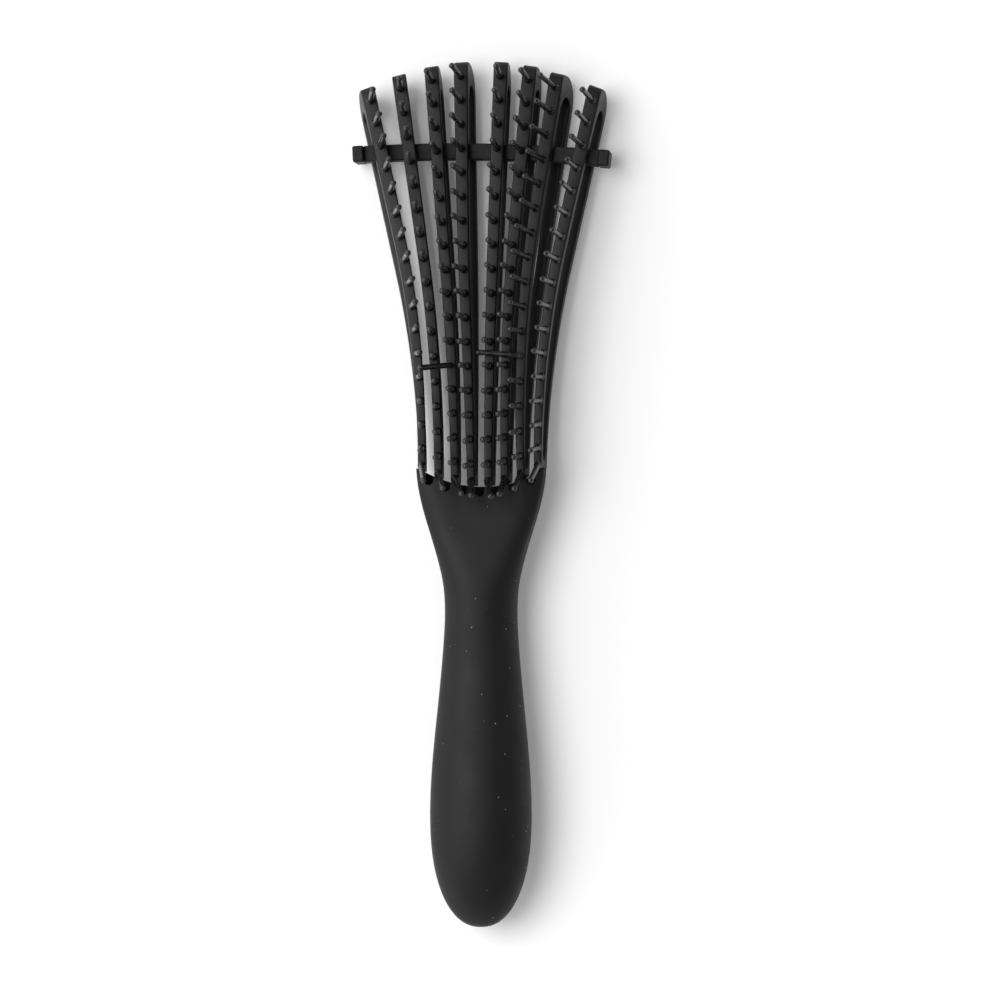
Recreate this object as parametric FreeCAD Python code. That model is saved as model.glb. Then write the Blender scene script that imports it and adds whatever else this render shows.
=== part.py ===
import FreeCAD, Part
import math
import os

from FreeCAD import Vector

# Detangling hair brush lying on its back, in millimetres.
# +X is to the right seen from the pins, +Y runs from the handle's butt to the arm tips.
# +Z is up, the way that the pins point.
# The origin is under the middle of the brush, on the surface that it lies on.

# Overall
LENGTH = 235.0
HANDLE_LENGTH = 119.5

# Handle: three sections, from the mouth to the butt
MOUTH_WIDTH = 34.8
MOUTH_THICKNESS = 11.0
MOUTH_HEIGHT = 10.0
WAIST_WIDTH = 19.8
WAIST_THICKNESS = 17.0
WAIST_HEIGHT = 10.4
BELLY_WIDTH = 27.6
BELLY_THICKNESS = 23.0
WAIST_TO_MOUTH = 38.0
BELLY_TO_BUTT = 30.5
BUTT_ROUNDNESS = 2.25
MOUTH_SQUARENESS = 7.0
GRIP_SQUARENESS = 2.2
GRIP_WALL = 2.2
MOUTH_WALL = 1.6

# Mouth of the handle: a hollow arc with a rounded notch between each two arms
MOUTH_ARC_RADIUS = 33.0
NOTCH_WIDTH = 2.6
FRONT_NOTCH_DEPTH = 2.6
REAR_NOTCH_DEPTH = 0.9

# Locating pegs that join the two handle shells
SHELL_PEG_RADIUS = 1.3
SHELL_PEG_LENGTH = 4.0
SHELL_BOSS_RADIUS = 2.7
SHELL_PEG_CLEARANCE = 0.06

# Fan of arms: hairpin loops that start parallel, bend outwards and run straight to their tips;
# each arm has its own tilt about its length, front to the middle, and its own lean about its eye
ROOT_INSET = 0.15
TIP_SPAN = 63.6
TIP_ARC_RADIUS = 75.0
BEND_TANGENT = 30.0
ROOT_ARM_WIDTH = 2.1
TIP_ARM_WIDTH = 3.9
ROOT_TILT = 3.0
TILT_HEIGHT = 8.0
ARM_TILTS = (11.5, 4.5, 0.0, -5.5, 1.5, 5.5, 14.0, 8.5)
ARM_LEANS = (0.0, 0.0, 0.0, 0.35, -0.45, 0.0, 0.55, 0.0)
ARM_SEAT_CLEARANCE = 0.2

# Side view of an arm: bowed front leg with the pins, straight back leg, closed tip
FRONT_TIP_HEIGHT = 11.0
FRONT_BOW = 2.93
FRONT_LEG = 2.4
BACK_LEG = 2.6
BACK_LIFT = 0.05
TIP_SOLID = 6.2
TIP_FRONT_ROUND = 1.5
TIP_BACK_ROUND = 8.5
ROOT_WEB = 2.6
ROOT_SINK = 1.5

# Pivot of each arm: an eye on a peg of the rear shell
EYE_INSET = 3.2
EYE_DROP = 6.5
EYE_GAP = 1.0
EYE_THICKNESS = 5.6
NECK_WIDTH = 1.5
NECK_INSET = 0.7
NECK_ROOM = 0.35
PIVOT_RADIUS = 0.8
PIVOT_CLEARANCE = 0.05
PIVOT_BOSS_RADIUS = 1.5
PIVOT_BOSS_GAP = 0.2
PIVOT_TIP = 1.0

# Pins
PIN_COUNTS = (17, 17, 18, 18, 18, 18, 17, 17)
PIN_LENGTH = 14.0
PIN_BASE_RADIUS = 0.85
PIN_NECK_RADIUS = 0.68
PIN_BALL_RADIUS = 0.85
PIN_PEG_RADIUS = 0.6
PIN_PEG_DEPTH = 1.3
PIN_HOLE_CLEARANCE = 0.02
PIN_EMBED = 0.35
FIRST_PIN = 4.0
NEXT_TO_LAST_PIN = 6.2
LAST_PIN = 1.5
LAST_PIN_LEAN = 15.0
LAST_PIN_INWARD = 12.0

# Pins that have been bent over, by arm and pin counted from the tip: heading seen from the front, bend
BENT_PINS = {(3, 13): (187.0, 42.0), (7, 12): (175.0, 80.0)}
BENT_PIN_RISE = 1.2
BENT_PIN_RADIUS = 2.2

# Spreader bar, threaded through every arm and stopped by a cap at each end
BAR_FROM_TIPS = 24.4
BAR_HEIGHT = 4.4
BAR_CLEARANCE = 0.35
BAR_ARC_RADIUS = 420.0
BAR_SKEW = 1.2
BAR_ROUND = 0.4
CAP_WIDTH = 3.1
CAP_HEIGHT = 4.5
CAP_DEPTH = 10.6
CAP_CLEARANCE = 0.15
CAP_ROUND = 0.6
TENON_RADIUS = 1.4
TENON_LENGTH = 2.0
TENON_CLEARANCE = 0.03

# Sections of the handle, how far cuts and joints run past a face, and a length beyond any piece
SECTION_POINTS = 24
OVERRUN = 1.0
FAR = 60.0

# Places worked out from the sizes above
arm_count = len(PIN_COUNTS)
arm_gaps = arm_count - 1
tips_y = LENGTH / 2
butt_y = -LENGTH / 2
mouth_y = butt_y + HANDLE_LENGTH
belly_y = butt_y + BELLY_TO_BUTT
root_span = MOUTH_WIDTH - ROOT_ARM_WIDTH - 2 * ROOT_INSET
neck_span = root_span - 2 * NECK_INSET
eye_span = root_span - 2 * EYE_INSET
eye_radius = (eye_span / arm_gaps - EYE_GAP) / 2


def mouth_arc(x, clearance=0.0):
    """Height along Y of the handle's mouth at x."""
    radius = MOUTH_ARC_RADIUS - clearance
    return mouth_y + MOUTH_ARC_RADIUS - math.sqrt(radius**2 - x**2)


mouth_end_y = mouth_arc(MOUTH_WIDTH / 2) + OVERRUN
waist_y = mouth_end_y - WAIST_TO_MOUTH


# Handle

def ease(share):
    """Smooth change from 0 to 1."""
    share = min(1.0, max(0.0, share))
    return share * share * (3 - 2 * share)


def along_handle(y, mouth, waist, belly):
    """Size of the handle at y, eased between its three main sections."""
    if y >= waist_y:
        return waist + (mouth - waist) * ease((y - waist_y) / WAIST_TO_MOUTH)
    return waist + (belly - waist) * ease((waist_y - y) / (waist_y - belly_y))


def section_wire(y, inset, share):
    """Closed section of the handle at y, drawn in by inset and scaled by share."""
    half_width = (along_handle(y, MOUTH_WIDTH, WAIST_WIDTH, BELLY_WIDTH) / 2 - inset) * share
    half_thick = (along_handle(y, MOUTH_THICKNESS, WAIST_THICKNESS, BELLY_THICKNESS) / 2 - inset) * share
    middle = along_handle(y, MOUTH_HEIGHT, WAIST_HEIGHT, BELLY_THICKNESS / 2)
    power = along_handle(y, MOUTH_SQUARENESS, GRIP_SQUARENESS, GRIP_SQUARENESS)
    points = []
    for i in range(SECTION_POINTS):
        turn = 2 * math.pi * (i + 0.5) / SECTION_POINTS
        c, s = math.cos(turn), math.sin(turn)
        reach = (abs(c) ** power + abs(s) ** power) ** (-1 / power)
        points.append(Vector(half_width * reach * c, y, middle + half_thick * reach * s))
    curve = Part.BSplineCurve()
    knots = [i / SECTION_POINTS for i in range(SECTION_POINTS + 1)]
    curve.interpolate(Points=points, PeriodicFlag=True, Parameters=knots)
    return Part.Wire([curve.toShape()])


def handle_body(mouth_wall, grip_wall):
    """Closed body of the handle, drawn in by the walls and running on past the mouth."""
    sections = []
    for i in range(7):
        y = mouth_end_y + 2 * OVERRUN - (WAIST_TO_MOUTH + 2 * OVERRUN) * i / 7
        sections.append(section_wire(y, along_handle(y, mouth_wall, grip_wall, grip_wall), 1.0))
    for i in range(5):
        y = waist_y + (belly_y - waist_y) * i / 5
        sections.append(section_wire(y, grip_wall, 1.0))
    butt_reach = BELLY_TO_BUTT - grip_wall
    for degrees in (0, 22, 40, 55, 67, 77, 84):
        reach = math.sin(math.radians(degrees))
        share = (1 - reach**BUTT_ROUNDNESS) ** (1 / BUTT_ROUNDNESS)
        sections.append(section_wire(belly_y - butt_reach * reach, grip_wall, share))
    sections.append(Part.Vertex(Vector(0, butt_y + grip_wall, BELLY_THICKNESS / 2)))
    return Part.makeLoft(sections, True, False)


def post(x, y, radius, bottom, top):
    return Part.makeCylinder(radius, top - bottom, Vector(x, y, bottom))


def half_space(bottom, top):
    return Part.makeBox(2 * FAR, 4 * FAR, top - bottom, Vector(-FAR, -2 * FAR, bottom))


# Arms

def arm_layout(number):
    """Where an arm stands in the fan, as named numbers."""
    side = (2 * number - arm_count - 1) / arm_gaps
    way = math.copysign(1, side)
    root_x = side * root_span / 2
    root_y = mouth_arc(root_x) - ROOT_SINK
    tip_x = side * TIP_SPAN / 2
    tip_y = tip_arc_y + TIP_ARC_RADIUS - tip_drop(tip_x)
    corner = Vector(root_x, root_y + BEND_TANGENT, 0)
    reach = Vector(tip_x, tip_y, 0) - corner
    fan = math.atan2(abs(reach.x), reach.y)
    return {
        "side": abs(side),
        "way": way,
        "tilt": ARM_TILTS[number - 1],
        "root_x": root_x,
        "neck_x": side * neck_span / 2,
        "corner": corner,
        "fan": fan,
        "straight": reach.Length,
        "foot": -BEND_TANGENT * math.cos(fan),
        "length": reach.Length + BEND_TANGENT * math.cos(fan),
        "bend": BEND_TANGENT / math.tan(fan / 2),
        "eye": Vector(side * eye_span / 2, mouth_arc(root_x) - EYE_DROP, 0),
    }


def tip_drop(x):
    """How far the arc of the tips falls back at x."""
    return TIP_ARC_RADIUS - math.sqrt(TIP_ARC_RADIUS**2 - x**2)


tip_arc_y = tips_y - TIP_ARC_RADIUS + tip_drop(TIP_SPAN / 2 / arm_gaps)

front_root_z = MOUTH_HEIGHT + MOUTH_THICKNESS / 2
front_top_z = front_root_z + FRONT_BOW + OVERRUN
back_root_z = MOUTH_HEIGHT - MOUTH_THICKNESS / 2
longest = arm_layout(arm_count // 2)["length"]
back_slope = (back_root_z - BACK_LIFT) / (longest - TIP_BACK_ROUND)

# The front face's bow, through its root and the tip of the longest arm
bow_chord = math.hypot(longest, FRONT_TIP_HEIGHT - front_root_z)
bow_radius = (bow_chord**2 / 4 + FRONT_BOW**2) / (2 * FRONT_BOW)
bow_share = (bow_radius - FRONT_BOW) / bow_chord
bow_along = longest / 2 + bow_share * (FRONT_TIP_HEIGHT - front_root_z)
bow_centre_z = (front_root_z + FRONT_TIP_HEIGHT) / 2 - bow_share * longest


def front_z(along, inset=0.0):
    """Height of the front leg's face, or of a line inset from it, along the arm."""
    radius = bow_radius - inset
    return bow_centre_z + math.sqrt(radius**2 - (along - bow_along) ** 2)


def back_z(along):
    return back_root_z - back_slope * along


def tilt_at(arm, y):
    """Tilt of the arm about its own length, in radians, at y in the arm's own frame."""
    share = min(1.0, (y - arm["foot"]) / (BEND_TANGENT - arm["foot"]))
    root_tilt = ROOT_TILT * arm["side"]
    return math.radians(root_tilt + (arm["tilt"] - root_tilt) * share)


def arm_width(share):
    """Width of an arm at a share of its length from the root."""
    return ROOT_ARM_WIDTH + (TIP_ARM_WIDTH - ROOT_ARM_WIDTH) * share


def plan_wire(arm, z):
    """Outline of the arm seen from the front, at height z."""
    edges = {}
    for edge in (-1, 1):
        line = []
        for turn in (arm["fan"], arm["fan"] / 2, 0.0, None):
            if turn is None:
                x, y, turn = 0.0, arm["straight"] + OVERRUN, 0.0
            else:
                x = arm["bend"] * (1 - math.cos(turn))
                y = BEND_TANGENT - arm["bend"] * math.sin(turn)
            share = (y - arm["foot"]) / arm["length"]
            half = arm_width(share) / 2
            slant = (z - TILT_HEIGHT) * math.tan(tilt_at(arm, y))
            across = x + edge * half * math.cos(turn) - slant
            line.append(Vector(arm["way"] * across, y + edge * half * math.sin(turn), z))
        edges[edge] = line
    inner, outer = edges[-1], edges[1]
    return Part.Wire([
        Part.Arc(inner[0], inner[1], inner[2]).toShape(),
        Part.makeLine(inner[2], inner[3]),
        Part.makeLine(inner[3], outer[3]),
        Part.makeLine(outer[3], outer[2]),
        Part.Arc(outer[2], outer[1], outer[0]).toShape(),
        Part.makeLine(outer[0], inner[0]),
    ])


def side_face(arm):
    """Hairpin outline of the arm seen from its side."""
    length = arm["length"]

    def at(along, z):
        return Vector(-FAR / 2, arm["foot"] + along, z)

    top_z = front_z(length) - TIP_FRONT_ROUND
    front_end = length - TIP_FRONT_ROUND
    back_end = length - TIP_BACK_ROUND
    round_z = back_z(back_end) + TIP_BACK_ROUND
    halfway = math.sqrt(0.5)
    front_mid = at(front_end + TIP_FRONT_ROUND * halfway, top_z + TIP_FRONT_ROUND * halfway)
    back_mid = at(back_end + TIP_BACK_ROUND * halfway, round_z - TIP_BACK_ROUND * halfway)
    outside = Part.Wire([
        Part.Arc(at(0, front_z(0)), at(front_end / 2, front_z(front_end / 2)),
                 at(front_end, front_z(front_end))).toShape(),
        Part.Arc(at(front_end, front_z(front_end)), front_mid, at(length, top_z)).toShape(),
        Part.makeLine(at(length, top_z), at(length, round_z)),
        Part.Arc(at(length, round_z), back_mid, at(back_end, back_z(back_end))).toShape(),
        Part.makeLine(at(back_end, back_z(back_end)), at(0, back_z(0))),
        Part.makeLine(at(0, back_z(0)), at(0, front_z(0))),
    ])
    gap_low, gap_high = slot_end(ROOT_SINK + ROOT_WEB, 1), slot_end(length - TIP_SOLID, -1)
    inside = Part.Wire([
        Part.Arc(at(gap_low[0], front_z(gap_low[0], FRONT_LEG)),
                 at((gap_low[0] + gap_high[0]) / 2, front_z((gap_low[0] + gap_high[0]) / 2, FRONT_LEG)),
                 at(gap_high[0], front_z(gap_high[0], FRONT_LEG))).toShape(),
        Part.Arc(at(gap_high[0], front_z(gap_high[0], FRONT_LEG)), at(length - TIP_SOLID, gap_high[1]),
                 at(gap_high[0], back_z(gap_high[0]) + BACK_LEG)).toShape(),
        Part.makeLine(at(gap_high[0], back_z(gap_high[0]) + BACK_LEG),
                      at(gap_low[0], back_z(gap_low[0]) + BACK_LEG)),
        Part.Arc(at(gap_low[0], back_z(gap_low[0]) + BACK_LEG), at(ROOT_SINK + ROOT_WEB, gap_low[1]),
                 at(gap_low[0], front_z(gap_low[0], FRONT_LEG))).toShape(),
    ])
    return Part.Face(outside).cut(Part.Face(inside))


def slot_end(end, way):
    """Where the round end of the loop's gap starts, and its middle height."""
    low, high = back_z(end) + BACK_LEG, front_z(end, FRONT_LEG)
    return end + way * (high - low) / 2, (high + low) / 2


def to_frame(arm, shape):
    """Bring a shape from the arm's own frame into the brush's frame."""
    shape.rotate(Vector(0, 0, 0), Vector(0, 0, 1), -arm["way"] * math.degrees(arm["fan"]))
    shape.translate(arm["corner"])
    return shape


def arm_loop(arm):
    """Hairpin loop of the arm, in the brush's frame, from the arc of the mouth to the arc of the tips."""
    blank = Part.makeLoft([plan_wire(arm, -2 * OVERRUN), plan_wire(arm, front_top_z)], True, True)
    loop = blank.common(side_face(arm).extrude(Vector(FAR, 0, 0)))
    loop = to_frame(arm, loop)
    below = Part.makeBox(2 * FAR, FAR, 2 * FAR, Vector(-FAR, mouth_end_y - FAR, -FAR))
    arc_radius = MOUTH_ARC_RADIUS - ARM_SEAT_CLEARANCE
    below = below.cut(post(0, mouth_y + MOUTH_ARC_RADIUS, arc_radius, -FAR, FAR))
    beyond = Part.makeBox(2 * FAR, FAR, 2 * FAR, Vector(-FAR, tip_arc_y, -FAR))
    beyond = beyond.cut(post(0, tip_arc_y, TIP_ARC_RADIUS, -FAR, FAR))
    return loop.cut([below, beyond])


eye_bottom = MOUTH_HEIGHT - EYE_THICKNESS / 2
eye_top = MOUTH_HEIGHT + EYE_THICKNESS / 2


def arm_neck(arm, grow):
    """Neck between an arm's root and its eye, grown by a clearance."""
    start = Vector(arm["neck_x"], mouth_arc(arm["root_x"]) + ROOT_SINK, eye_bottom - grow)
    end = arm["eye"] + Vector(0, 0, eye_bottom - grow)
    along = (end - start).normalize()
    across = Vector(-along.y, along.x, 0) * (NECK_WIDTH / 2 + grow)
    corners = [start + across, end + across, end - across, start - across]
    outline = Part.Face(Part.makePolygon(corners + corners[:1]))
    return outline.extrude(Vector(0, 0, EYE_THICKNESS + 2 * grow))


# Pins

def pin_place(arm, index, count):
    """Foot of a pin on the front leg's face and the direction that it stands in, in the arm's own frame."""
    spacing = (arm["length"] - ROOT_SINK - FIRST_PIN - NEXT_TO_LAST_PIN) / (count - 2)
    along = arm["length"] - FIRST_PIN - index * spacing
    if index == count - 1:
        along = ROOT_SINK + LAST_PIN
    y = arm["foot"] + along
    z = front_z(along)
    x = 0.0
    if y < BEND_TANGENT:
        x = arm["bend"] - math.sqrt(arm["bend"] ** 2 - (BEND_TANGENT - y) ** 2)
    tilt = tilt_at(arm, y)
    foot = Vector(arm["way"] * (x - (z - TILT_HEIGHT) * math.tan(tilt)), y, z)
    slope = math.asin((bow_along - along) / bow_radius)
    upright = math.cos(tilt)
    stand = Vector(-arm["way"] * math.sin(tilt), -math.sin(slope) * upright, math.cos(slope) * upright)
    return foot, stand


def straight_pin():
    """Straight pin along +Z with its foot at the origin and its shaft starting a little below."""
    start = -PIN_EMBED
    ball_z = PIN_LENGTH - PIN_BALL_RADIUS
    meet = ball_z - math.sqrt(PIN_BALL_RADIUS**2 - PIN_NECK_RADIUS**2)
    outline = Part.Wire([
        Part.makeLine(Vector(0, 0, start), Vector(PIN_BASE_RADIUS, 0, start)),
        Part.makeLine(Vector(PIN_BASE_RADIUS, 0, start), Vector(PIN_NECK_RADIUS, 0, meet)),
        Part.Arc(Vector(PIN_NECK_RADIUS, 0, meet), Vector(PIN_BALL_RADIUS, 0, ball_z),
                 Vector(0, 0, PIN_LENGTH)).toShape(),
        Part.makeLine(Vector(0, 0, PIN_LENGTH), Vector(0, 0, start)),
    ])
    return Part.Face(outline).revolve(Vector(0, 0, 0), Vector(0, 0, 1), 360)


def bent_pin(foot, stand, heading, bend):
    """Pin that rises from its foot and then lies over to one side."""
    turn = math.radians(heading)
    over = Vector(math.cos(turn), math.sin(turn), 0)
    over = (over - stand * over.dot(stand)).normalize()
    angle = math.radians(bend)
    knee = foot + stand * BENT_PIN_RISE
    middle = knee + over * BENT_PIN_RADIUS
    rest = PIN_LENGTH - PIN_BALL_RADIUS - BENT_PIN_RISE - BENT_PIN_RADIUS * angle
    away = over * math.sin(angle) + stand * math.cos(angle)
    bend_end = middle - over * (BENT_PIN_RADIUS * math.cos(angle)) + stand * (BENT_PIN_RADIUS * math.sin(angle))
    tip = bend_end + away * rest
    radius = (PIN_BASE_RADIUS + PIN_NECK_RADIUS) / 2
    section = Part.Face(Part.Wire([Part.makeCircle(radius, knee, stand)]))
    return Part.makeCylinder(radius, BENT_PIN_RISE + PIN_EMBED, foot - stand * PIN_EMBED, stand).fuse([
        section.revolve(middle, stand.cross(over), bend),
        Part.makeCylinder(radius, rest, bend_end, away),
        Part.makeSphere(PIN_BALL_RADIUS, tip, away),
    ])


def lean_over(arm, stand):
    """Direction of the last pin, which leans to the handle and to the middle of the fan."""
    sideways = -arm["way"] * math.tan(math.radians(LAST_PIN_INWARD * arm["side"]))
    return (stand + Vector(sideways, -math.tan(math.radians(LAST_PIN_LEAN)), 0)).normalize()


# Build the arms with their pins

os.makedirs("parts", exist_ok=True)
nodes = {}
rooms = []
for number in range(1, arm_count + 1):
    arm = arm_layout(number)
    turn = FreeCAD.Rotation(Vector(0, 0, 1), -arm["way"] * math.degrees(arm["fan"]))
    own = FreeCAD.Placement(arm["corner"], turn)
    loop = arm_loop(arm)
    count = PIN_COUNTS[number - 1]
    pins, bent, holes = [], [], []
    for index in range(count):
        foot, stand = pin_place(arm, index, count)
        foot, stand = own.multVec(foot), turn.multVec(stand)
        if index == count - 1:
            stand = lean_over(arm, stand)
        if (number, index + 1) in BENT_PINS:
            row = bent
            pin = bent_pin(foot, stand, *BENT_PINS[(number, index + 1)])
        else:
            row = pins
            pin = straight_pin()
            pin.Placement = FreeCAD.Placement(foot, FreeCAD.Rotation(Vector(0, 0, 1), stand))
        pin = pin.cut(loop)
        hole_radius = PIN_PEG_RADIUS + PIN_HOLE_CLEARANCE
        peg_foot = foot - stand * PIN_PEG_DEPTH
        row.append(pin.fuse(Part.makeCylinder(PIN_PEG_RADIUS, PIN_PEG_DEPTH + PIN_EMBED, peg_foot, stand)))
        hole_foot = peg_foot - stand * PIN_HOLE_CLEARANCE
        holes.append(Part.makeCylinder(hole_radius, PIN_PEG_DEPTH + OVERRUN, hole_foot, stand))
    eye = post(arm["eye"].x, arm["eye"].y, eye_radius, eye_bottom, eye_top)
    body = loop.fuse([arm_neck(arm, 0.0), eye]).removeSplitter()
    bore = post(arm["eye"].x, arm["eye"].y, PIVOT_RADIUS + PIVOT_CLEARANCE, -FAR, FAR)
    body = body.cut(holes + [bore])
    shapes = {"arm_%d" % number: body, "pins_%d" % number: Part.makeCompound(pins)}
    if bent:
        shapes["bent_pin_%d" % number] = Part.makeCompound(bent)
    for name, shape in shapes.items():
        shape.rotate(arm["eye"], Vector(0, 0, 1), ARM_LEANS[number - 1])
        nodes[name] = shape
    rooms.append(arm_neck(arm, NECK_ROOM))

# Build the two handle shells

solid = handle_body(0.0, 0.0)
hollow = handle_body(MOUTH_WALL, GRIP_WALL)
mouth = post(0, mouth_y + MOUTH_ARC_RADIUS, MOUTH_ARC_RADIUS, -FAR, FAR)
walls = solid.cut([hollow, mouth])
front_half = half_space(WAIST_HEIGHT, FAR)
rear_half = half_space(-FAR, WAIST_HEIGHT)
front_posts, rear_posts, pegs, sockets = [], [], [], []
for y in (waist_y, (waist_y + belly_y) / 2, belly_y):
    front_posts.append(post(0, y, SHELL_BOSS_RADIUS, WAIST_HEIGHT, FAR))
    rear_posts.append(post(0, y, SHELL_BOSS_RADIUS, -FAR, WAIST_HEIGHT))
    peg_top = WAIST_HEIGHT + SHELL_PEG_LENGTH
    pegs.append(post(0, y, SHELL_PEG_RADIUS, WAIST_HEIGHT - OVERRUN, peg_top))
    socket_radius = SHELL_PEG_RADIUS + SHELL_PEG_CLEARANCE
    sockets.append(post(0, y, socket_radius, WAIST_HEIGHT - OVERRUN, peg_top + SHELL_PEG_CLEARANCE))
for number in range(1, arm_count + 1):
    eye = arm_layout(number)["eye"]
    low, high = eye_bottom - PIVOT_BOSS_GAP, eye_top + PIVOT_BOSS_GAP
    rear_posts.append(post(eye.x, eye.y, PIVOT_BOSS_RADIUS, -FAR, low))
    front_posts.append(post(eye.x, eye.y, PIVOT_BOSS_RADIUS, high, FAR))
    pegs.append(post(eye.x, eye.y, PIVOT_RADIUS, low - OVERRUN, high + PIVOT_TIP))
    socket_radius = PIVOT_RADIUS + PIVOT_CLEARANCE
    sockets.append(post(eye.x, eye.y, socket_radius, high - OVERRUN, high + PIVOT_TIP + PIVOT_CLEARANCE))
front_notches, rear_notches = [], []
for gap in range(1, arm_count):
    x = (arm_layout(gap)["root_x"] + arm_layout(gap + 1)["root_x"]) / 2
    for notches, depth, low in ((front_notches, FRONT_NOTCH_DEPTH, WAIST_HEIGHT),
                                (rear_notches, REAR_NOTCH_DEPTH, -FAR)):
        y = mouth_arc(x) - depth + NOTCH_WIDTH / 2
        notches.append(post(x, y, NOTCH_WIDTH / 2, low, low + FAR))
        notches.append(Part.makeBox(NOTCH_WIDTH, FAR, FAR, Vector(x - NOTCH_WIDTH / 2, y, low)))
front = walls.common(front_half).fuse([item.common(solid) for item in front_posts])
nodes["handle_front_shell"] = front.cut(sockets + front_notches + rooms)
rear = walls.common(rear_half).fuse([item.common(solid) for item in rear_posts])
nodes["handle_rear_shell"] = rear.cut(rear_notches + rooms).fuse(pegs)

# Build the spreader bar and its caps, sized to the gap in the loops

bar_y = tips_y - BAR_FROM_TIPS
floors, roofs = [], []
for number in range(1, arm_count + 1):
    arm = arm_layout(number)
    along = (bar_y - arm["corner"].y) / math.cos(arm["fan"]) - arm["foot"]
    floors.append(back_z(along - BAR_HEIGHT) + BACK_LEG)
    roofs.append(front_z(along + BAR_HEIGHT, FRONT_LEG))
bar_bottom, bar_top = max(floors) + BAR_CLEARANCE, min(roofs) - BAR_CLEARANCE
bar_z = (bar_bottom + bar_top) / 2

outer = arm_layout(arm_count)
cap_y = bar_y + CAP_HEIGHT / 2
outer_tilt = max(ARM_TILTS[0], ARM_TILTS[-1])
outer_slant = (TILT_HEIGHT - bar_z + CAP_DEPTH / 2) * math.tan(math.radians(outer_tilt))
outer_half = arm_width(along / outer["length"]) / 2 + outer_slant
outer_x = outer["corner"].x + (cap_y - outer["corner"].y) * math.tan(outer["fan"])
cap_x = outer_x + outer_half / math.cos(outer["fan"]) + CAP_CLEARANCE

bar_centre = Vector(0, bar_y - BAR_ARC_RADIUS, 0)
end_turn = math.degrees(math.asin(cap_x / BAR_ARC_RADIUS))
bar_depth = bar_top - bar_bottom
ring = Part.makeCylinder(BAR_ARC_RADIUS + BAR_HEIGHT / 2, bar_depth, Vector(), Vector(0, 0, 1), 2 * end_turn)
ring = ring.cut(Part.makeCylinder(BAR_ARC_RADIUS - BAR_HEIGHT / 2, bar_depth))
ring.rotate(Vector(), Vector(0, 0, 1), 90 - end_turn)
ring.translate(bar_centre + Vector(0, 0, bar_bottom))
bar = ring.makeFillet(BAR_ROUND, [edge for edge in ring.Edges if edge.Length > cap_x])
middle = Vector(0, bar_y, bar_z)
inside = middle - Vector(OVERRUN, 0, 0)
for name, way in (("left", 1), ("right", -1)):
    cap = Part.makeBox(CAP_WIDTH, CAP_HEIGHT, CAP_DEPTH)
    cap.translate(middle - Vector(0, CAP_HEIGHT / 2, CAP_DEPTH / 2))
    cap = cap.makeFillet(CAP_ROUND, cap.Edges)
    tenon = Part.makeCylinder(TENON_RADIUS, TENON_LENGTH + OVERRUN, inside, Vector(1, 0, 0))
    socket_radius = TENON_RADIUS + TENON_CLEARANCE
    socket_length = TENON_LENGTH + TENON_CLEARANCE + OVERRUN
    cap = cap.cut(Part.makeCylinder(socket_radius, socket_length, inside, Vector(1, 0, 0)))
    for shape in (cap, tenon):
        if way > 0:
            shape.rotate(middle, Vector(0, 0, 1), 180)
        shape.rotate(bar_centre, Vector(0, 0, 1), way * end_turn)
    bar = bar.fuse(tenon)
    nodes["bar_cap_" + name] = cap
nodes["spreader_bar"] = bar
for name in ("spreader_bar", "bar_cap_left", "bar_cap_right"):
    nodes[name].rotate(middle, Vector(0, 0, 1), -BAR_SKEW)

for name, shape in nodes.items():
    shape.exportStep("parts/%s.step" % name)
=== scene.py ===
import math

import bmesh
import bpy
from mathutils import Matrix, Vector


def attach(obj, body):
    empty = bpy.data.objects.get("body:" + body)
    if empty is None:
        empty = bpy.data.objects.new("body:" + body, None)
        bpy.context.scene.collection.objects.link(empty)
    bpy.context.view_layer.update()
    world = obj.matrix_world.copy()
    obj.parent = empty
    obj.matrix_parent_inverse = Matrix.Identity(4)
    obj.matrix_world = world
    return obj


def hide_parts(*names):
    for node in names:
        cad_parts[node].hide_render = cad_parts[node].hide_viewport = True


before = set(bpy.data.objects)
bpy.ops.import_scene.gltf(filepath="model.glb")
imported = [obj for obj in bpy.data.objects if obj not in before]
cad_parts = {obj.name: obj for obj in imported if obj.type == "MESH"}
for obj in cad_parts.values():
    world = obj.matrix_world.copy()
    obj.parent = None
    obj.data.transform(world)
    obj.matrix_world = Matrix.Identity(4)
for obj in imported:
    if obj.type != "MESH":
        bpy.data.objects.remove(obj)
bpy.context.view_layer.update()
scene = bpy.context.scene
mm = 0.001  # sizes below are in millimetres, the scene is in metres


def linearColour(hexText):
    # sRGB hex to the linear colour that sockets take
    parts = [int(hexText[i:i + 2], 16) / 255 for i in (1, 3, 5)]
    return [c / 12.92 if c <= 0.04045 else ((c + 0.055) / 1.055) ** 2.4 for c in parts] + [1.0]


def perMm(size):
    # texture scale whose features are about this many millimetres across
    return 1 / (size * mm)


def addNode(tree, kind, settings=None, inputs=None):
    node = tree.nodes.new(kind)
    for name, value in (settings or {}).items():
        setattr(node, name, value)
    for name, value in (inputs or {}).items():
        if isinstance(value, bpy.types.NodeSocket):
            tree.links.new(value, node.inputs[name])
        else:
            node.inputs[name].default_value = value
    return node


def newMaterial(name):
    material = bpy.data.materials.new(name)
    material.use_nodes = True
    tree = material.node_tree
    shader = tree.nodes["Principled BSDF"]
    place = addNode(tree, "ShaderNodeTexCoord").outputs["Object"]
    return material, tree, shader, place


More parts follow.
